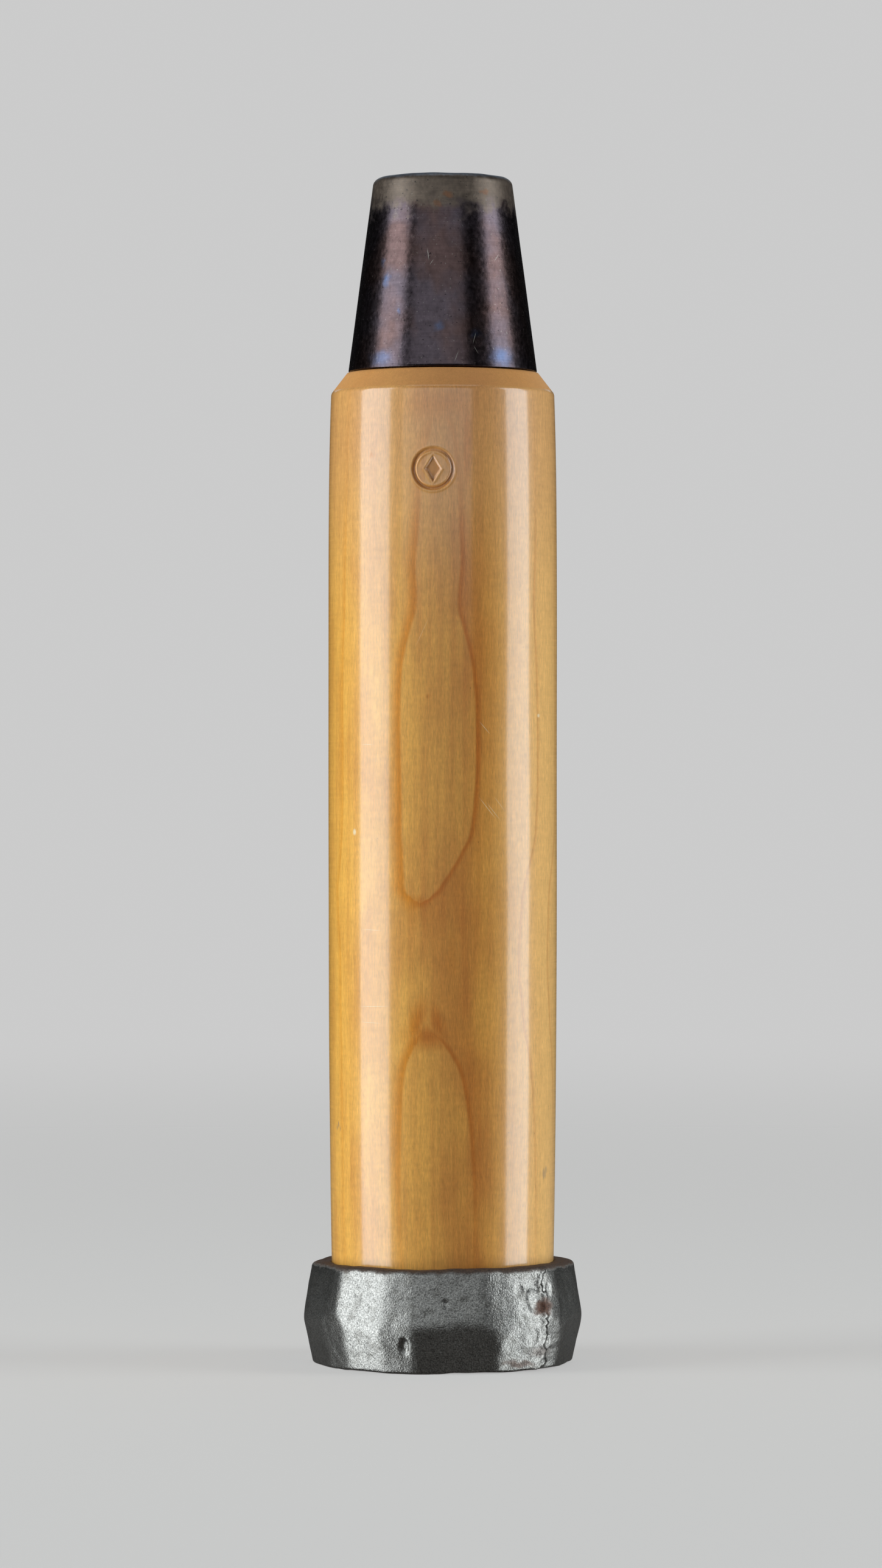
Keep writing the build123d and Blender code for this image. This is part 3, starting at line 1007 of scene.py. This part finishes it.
weldSeam = {
    "angle": 50.0,  # where the two ends of the bar were lapped and welded
    "stray": 26.0,
    "ragged": 2.2,  # mm
    "step": 0.24,
    "stepRise": (-0.1, 0.2),  # mm across the seam
    "fade": 3.2,
    "bands": {"lip": (-0.45, 0.55, 0.10 * mm), "crack": (0.12, 0.36, 0.9)},  # middle, half width, most
    "blister": (42.8, 8.3, 0.95, 1.3),
    "blisterRim": (1.45, 0.3, 0.12, 0.9),  # where it runs, its half width and full width, and how dark
}

# how each edge is beaten in: from and to which height, which way, and where its noise begins and is full
beatenEdges = ((8.0 * mm, "Height", -1.0, 0.38, 0.7), (3.5 * mm, 0.0, 1.0, 0.6, 0.3))

hoopSection = {
    "row": 0.17,
    "endRow": 0.08,
    "boreRow": 2.0,
    "bottomEdge": (0.14, 0.35),  # share of the wall, and mm of height
    "topEdge": (0.26, 0.55),
    "boreEdge": (0.09, 0.2),
}


def drawSection():
    # the wall's section, from the bore at 0 to the outside at 1, with its height in metres
    height = hoop["Height"] / mm
    bottom, top, bore = hoopSection["bottomEdge"], hoopSection["topEdge"], hoopSection["boreEdge"]
    endRow, boreRow = hoopSection["endRow"], hoopSection["boreRow"]
    outline = [(s, 0) for s in spaced(bore[0], 1 - bottom[0], endRow)]
    outline += arcPoints((1 - bottom[0], bottom[1]), bottom, -90, 0, 5)[1:]
    outline += [(1, z) for z in spaced(bottom[1], height - top[1], hoopSection["row"])[1:]]
    outline += arcPoints((1 - top[0], height - top[1]), top, 0, 90, 7)[1:]
    outline += [(s, height) for s in spaced(1 - top[0], bore[0], endRow)[1:]]
    outline += arcPoints((bore[0], height - bore[1]), bore, 90, 180, 3)[1:]
    outline += [(0, z) for z in spaced(height - bore[1], bore[1], boreRow)[1:]]
    mesh = bpy.data.meshes.new("ironHoop")
    count = len(outline)
    lines = [(i, (i + 1) % count) for i in range(count)]
    mesh.from_pydata([(s, z * mm, 0) for s, z in outline], lines, [])
    return makeObject("ironHoop", mesh)


def awayFrom(tree, angle, height, radius, spot):
    # how far a point is from the middle of a spot on the outside, as a share of the spot's size
    degrees, level, halfWidth, halfHeight = spot
    off = addNode(tree, "ShaderNodeMath", [angle, math.radians(degrees % 360)], operation="SUBTRACT")
    arc = addNode(tree, "ShaderNodeMath", [off, radius], operation="MULTIPLY")
    arc = addNode(tree, "ShaderNodeMath", [arc, halfWidth * mm], operation="DIVIDE")
    rise = addNode(tree, "ShaderNodeMath", [height, level * mm], operation="SUBTRACT")
    rise = addNode(tree, "ShaderNodeMath", [rise, halfHeight * mm], operation="DIVIDE")
    away = addNode(tree, "ShaderNodeCombineXYZ", [arc, rise, 0.0])
    return addNode(tree, "ShaderNodeVectorMath", [away], operation="LENGTH").outputs["Value"]


def pressFlat(tree, radius, angle, aim, plane, softness):
    # presses the radius back to a flat that faces the aim, with the plane's distance from the axis
    off = addNode(tree, "ShaderNodeMath", [angle, aim], operation="SUBTRACT")
    cosine = addNode(tree, "ShaderNodeMath", [off], operation="COSINE")
    cosine = addNode(tree, "ShaderNodeMath", [cosine, 0.3], operation="MAXIMUM")  # no flat on the far side
    plane = addNode(tree, "ShaderNodeMath", [plane, cosine], operation="DIVIDE")
    return addNode(tree, "ShaderNodeMath", [radius, plane, softness], operation="SMOOTH_MIN")


def hoopTree():
    tree = bpy.data.node_groups.new("forgedHoop", "GeometryNodeTree")
    tree.is_modifier = True
    tree.interface.new_socket("Hoop", in_out="OUTPUT", socket_type="NodeSocketGeometry")
    tree.interface.new_socket("Section", in_out="INPUT", socket_type="NodeSocketGeometry")
    for name, value in hoop.items():
        kind = "NodeSocketInt" if isinstance(value, int) else "NodeSocketFloat"
        tree.interface.new_socket(name, in_out="INPUT", socket_type=kind)
    size = addNode(tree, "NodeGroupInput").outputs

    # sweep the section round, remembering where each point lies in it and how far round it is
    path = addNode(tree, "GeometryNodeCurvePrimitiveCircle", {"Resolution": size["Steps"], "Radius": 1.0})
    lap = tree.nodes.new("GeometryNodeCaptureAttribute")
    lap.capture_items.new("FLOAT", "Lap")
    tree.links.new(path.outputs["Curve"], lap.inputs["Geometry"])
    tree.links.new(addNode(tree, "GeometryNodeSplineParameter").outputs["Factor"], lap.inputs["Lap"])
    wall = tree.nodes.new("GeometryNodeCaptureAttribute")
    wall.capture_items.new("VECTOR", "Place")
    tree.links.new(size["Section"], wall.inputs["Geometry"])
    tree.links.new(addNode(tree, "GeometryNodeInputPosition").outputs[0], wall.inputs["Place"])
    profile = addNode(tree, "GeometryNodeMeshToCurve", [wall.outputs["Geometry"]])
    ends = {"Curve": lap.outputs["Geometry"], "Profile Curve": profile}
    swept = addNode(tree, "GeometryNodeCurveToMesh", ends)
    angle = addNode(tree, "ShaderNodeMath", [lap.outputs["Lap"], 2 * math.pi], operation="MULTIPLY")
    within = addNode(tree, "ShaderNodeSeparateXYZ", [wall.outputs["Place"]])
    share, height = within.outputs["X"], within.outputs["Y"]

    # the plain ring before the hammer: a bore that widens upward, and two slopes that meet in a ridge
    slopes = []
    for low, high, first, last in (
        (size["Bore Start"], size["Height"], "Bore End", "Bore Top"),
        (0.0, size["Ridge Height"], "Bottom Radius", "Ridge Radius"),
        (size["Ridge Height"], size["Height"], "Ridge Radius", "Top Radius"),
    ):
        values = {"Value": height, "From Min": low, "From Max": high}
        values.update({"To Min": size[first], "To Max": size[last]})
        slopes.append(addNode(tree, "ShaderNodeMapRange", values, clamp=first == "Bore End"))
    bore, lower, upper = slopes
    plain = addNode(tree, "ShaderNodeMath", [lower, upper, size["Softness"]], operation="SMOOTH_MIN")

    # each blow leaves a flat: what stands proud of its plane is pressed back to it
    start = tree.nodes.new("GeometryNodeRepeatInput")
    end = tree.nodes.new("GeometryNodeRepeatOutput")
    start.pair_with_output(end)
    end.repeat_items.clear()
    end.repeat_items.new("FLOAT", "Radius")
    tree.links.new(size["Flats"], start.inputs["Iterations"])
    tree.links.new(plain.outputs[0], start.inputs["Radius"])
    blow = start.outputs["Iteration"]
    spacing = addNode(tree, "ShaderNodeMath", [2 * math.pi, size["Flats"]], operation="DIVIDE")
    turn = addNode(tree, "ShaderNodeMath", [blow, spacing], operation="MULTIPLY")
    above = addNode(tree, "ShaderNodeMath", [height, size["Ridge Height"]], operation="SUBTRACT")
    full = addNode(tree, "ShaderNodeMath", [size["Ridge Radius"], size["Flat Depth"]], operation="SUBTRACT")
    upperRun = addNode(tree, "ShaderNodeMath", [size["Height"], size["Ridge Height"]], operation="SUBTRACT")
    radius = start.outputs["Radius"]
    for edge, run, sign, phase in (
        ("Top Radius", upperRun, 1, 0.4),
        ("Bottom Radius", size["Ridge Height"], -1, 1.9),
    ):
        drop = addNode(tree, "ShaderNodeMath", [size["Ridge Radius"], size[edge]], operation="SUBTRACT")
        slope = addNode(tree, "ShaderNodeMath", [drop, run], operation="DIVIDE")
        beat = addNode(tree, "ShaderNodeMath", [blow, 2.4, phase], operation="MULTIPLY_ADD")
        wander = addNode(tree, "ShaderNodeMath", [beat], operation="SINE")
        aim = addNode(tree, "ShaderNodeMath", [wander, size["Angle Wander"], turn], operation="MULTIPLY_ADD")
        extra = addNode(tree, "ShaderNodeMath", [wander, size["Depth Wander"]], operation="MULTIPLY")
        depth = addNode(tree, "ShaderNodeMath", [full, extra], operation="SUBTRACT")
        fall = addNode(tree, "ShaderNodeMath", [above, sign], operation="MULTIPLY")
        fall = addNode(tree, "ShaderNodeMath", [fall, slope], operation="MULTIPLY")
        plane = addNode(tree, "ShaderNodeMath", [depth, fall], operation="SUBTRACT")
        radius = pressFlat(tree, radius, angle, aim, plane, size["Softness"])
    tree.links.new(radius.outputs[0], end.inputs["Radius"])
    outer = end.outputs["Radius"]
    for upperTurn, upperDepth, lowerTurn, lowerDepth in strayBlows:
        for turned, depth, lean in zip((upperTurn, lowerTurn), (upperDepth, lowerDepth), straySlopes):
            values = [above, -lean, size["Ridge Radius"]]
            fall = addNode(tree, "ShaderNodeMath", values, operation="MULTIPLY_ADD")
            plane = addNode(tree, "ShaderNodeMath", [fall, depth * mm], operation="SUBTRACT")
            outer = pressFlat(tree, outer, angle, math.radians(turned), plane, size["Softness"])

    # rolling unevenness and small dents
    sine = addNode(tree, "ShaderNodeMath", [angle], operation="SINE")
    cosine = addNode(tree, "ShaderNodeMath", [angle], operation="COSINE")
    back = addNode(tree, "ShaderNodeMath", [cosine, -1.0], operation="MULTIPLY")
    facing = addNode(tree, "ShaderNodeCombineXYZ", [sine, back, 0.0])
    lifted = addNode(tree, "ShaderNodeCombineXYZ", {"Z": height})
    reached = addNode(tree, "ShaderNodeVectorMath", {0: facing, "Scale": outer}, operation="SCALE")
    spot = addNode(tree, "ShaderNodeVectorMath", [reached, lifted], operation="ADD")
    for amount, lump in (("Roll", 5.0 * mm), ("Dent", 1.6 * mm)):
        values = {"Vector": spot, "W": size["Seed"], "Scale": 1 / lump, "Detail": 1.0}
        uneven = addNode(tree, "ShaderNodeTexNoise", values, noise_dimensions="4D")
        centred = addNode(tree, "ShaderNodeMath", [uneven, 0.5], operation="SUBTRACT")
        outer = addNode(tree, "ShaderNodeMath", [centred, size[amount], outer], operation="MULTIPLY_ADD")

    for *spot, depth in hoopPits:
        away = awayFrom(tree, angle, height, size["Ridge Radius"], spot)
        values = {"Value": away, "From Min": 1.0, "From Max": 0.35, "To Max": depth * mm}
        hollow = addNode(tree, "ShaderNodeMapRange", values, interpolation_type="SMOOTHSTEP")
        outer = addNode(tree, "ShaderNodeMath", [outer, hollow], operation="SUBTRACT")

    # the lapped weld: a ragged step with a lip, and a blister of scale beside it
    values = {"Vector": lifted, "W": size["Seed"], "Detail": 4.0, "Roughness": 0.75}
    values["Scale"] = 1 / (weldSeam["ragged"] * mm)
    ragged = addNode(tree, "ShaderNodeTexNoise", values, noise_dimensions="4D")
    stray = math.radians(weldSeam["stray"])
    begin = math.radians(weldSeam["angle"]) - stray / 2
    line = addNode(tree, "ShaderNodeMath", [ragged, stray, begin], operation="MULTIPLY_ADD")
    off = addNode(tree, "ShaderNodeMath", [angle, line], operation="SUBTRACT")
    off = addNode(tree, "ShaderNodeMath", [off, size["Ridge Radius"]], operation="MULTIPLY")
    off = addNode(tree, "ShaderNodeMath", [off, mm], operation="DIVIDE")
    low, high = weldSeam["stepRise"]
    values = {"Value": off, "From Min": low, "From Max": high, "To Max": weldSeam["step"] * mm}
    step = addNode(tree, "ShaderNodeMapRange", values, interpolation_type="SMOOTHSTEP")
    values = {"Value": off, "From Min": weldSeam["fade"], "From Max": high}
    fade = addNode(tree, "ShaderNodeMapRange", values, interpolation_type="SMOOTHSTEP")
    step = addNode(tree, "ShaderNodeMath", [step, fade], operation="MULTIPLY")
    outer = addNode(tree, "ShaderNodeMath", [outer, step], operation="SUBTRACT")
    bands = {}
    for name, (centre, width, most) in weldSeam["bands"].items():
        near = addNode(tree, "ShaderNodeMath", [off, centre], operation="SUBTRACT")
        near = addNode(tree, "ShaderNodeMath", [near], operation="ABSOLUTE")
        values = {"Value": near, "From Min": width, "From Max": width * 0.2, "To Max": most}
        bands[name] = addNode(tree, "ShaderNodeMapRange", values, interpolation_type="SMOOTHSTEP")
    outer = addNode(tree, "ShaderNodeMath", [outer, bands["lip"]], operation="ADD")
    away = awayFrom(tree, angle, height, size["Ridge Radius"], weldSeam["blister"])
    away = addNode(tree, "ShaderNodeMath", [away, ragged], operation="ADD")
    rim, width, full, most = weldSeam["blisterRim"]
    away = addNode(tree, "ShaderNodeMath", [away, rim], operation="SUBTRACT")
    away = addNode(tree, "ShaderNodeMath", [away], operation="ABSOLUTE")
    values = {"Value": away, "From Min": width, "From Max": full, "To Max": most}
    blister = addNode(tree, "ShaderNodeMapRange", values)
    seam = addNode(tree, "ShaderNodeMath", [bands["crack"], blister], operation="MAXIMUM")

    # both edges are beaten out of true
    values = {"Vector": reached, "W": size["Seed"], "Scale": 1 / (7.0 * mm), "Detail": 2.0}
    beaten = addNode(tree, "ShaderNodeTexNoise", values, noise_dimensions="4D")
    moved = height
    for inner, edge, direction, least, most in beatenEdges:
        outermost = size[edge] if edge else 0.0
        values = {"Value": height, "From Min": inner, "From Max": outermost, "To Max": direction}
        pull = addNode(tree, "ShaderNodeMapRange", values)
        values = {"Value": beaten, "From Min": least, "From Max": most, "To Max": size["Edge Wear"]}
        worn = addNode(tree, "ShaderNodeMapRange", values)
        moved = addNode(tree, "ShaderNodeMath", [pull, worn, moved], operation="MULTIPLY_ADD")
    lifted = addNode(tree, "ShaderNodeCombineXYZ", {"Z": moved})

    across = addNode(tree, "ShaderNodeMath", [outer, bore], operation="SUBTRACT")
    reach = addNode(tree, "ShaderNodeMath", [across, share, bore], operation="MULTIPLY_ADD")
    flat = addNode(tree, "ShaderNodeVectorMath", {0: facing, "Scale": reach}, operation="SCALE")
    final = addNode(tree, "ShaderNodeVectorMath", [flat, lifted], operation="ADD")
    placed = addNode(tree, "GeometryNodeSetPosition", {"Geometry": swept, "Position": final})
    outside = addNode(tree, "ShaderNodeMath", [share, 0.9], operation="GREATER_THAN")
    seam = addNode(tree, "ShaderNodeMath", [seam, outside], operation="MULTIPLY")
    values = {"Geometry": placed, "Name": "seam", "Value": seam}
    placed = addNode(tree, "GeometryNodeStoreNamedAttribute", values)
    outward = addNode(tree, "GeometryNodeFlipFaces", [placed])  # the sweep leaves the faces looking inward
    smooth = addNode(tree, "GeometryNodeSetShadeSmooth", [outward])
    real = addNode(tree, "GeometryNodeRealizeInstances", [smooth])
    painted = addNode(tree, "GeometryNodeSetMaterial", {"Geometry": real, "Material": hoopIronFinish})
    addNode(tree, "NodeGroupOutput", [painted])
    return tree


def makeHoop():
    drawn = drawSection()
    modifier = drawn.modifiers.new("forged", "NODES")
    modifier.node_group = hoopTree()
    for socket in modifier.node_group.interface.items_tree:
        if socket.in_out == "INPUT" and socket.name in hoop:
            modifier[socket.identifier] = hoop[socket.name]
    view = bpy.context.evaluated_depsgraph_get()
    mesh = bpy.data.meshes.new_from_object(drawn.evaluated_get(view))
    drawn.modifiers.remove(modifier)
    drawn.data = mesh
    return drawn


hoopPiece = makeHoop()
print("hoop forged:", len(hoopPiece.data.polygons), "faces")

for piece, node, slot in (
    (gripPiece, "grip", "boxwood"),
    (ferrulePiece, "ferrule", "ferrule_steel"),
    (hoopPiece, "hoop", "hoop_iron"),
):
    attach(piece, "root")
    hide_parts(node)
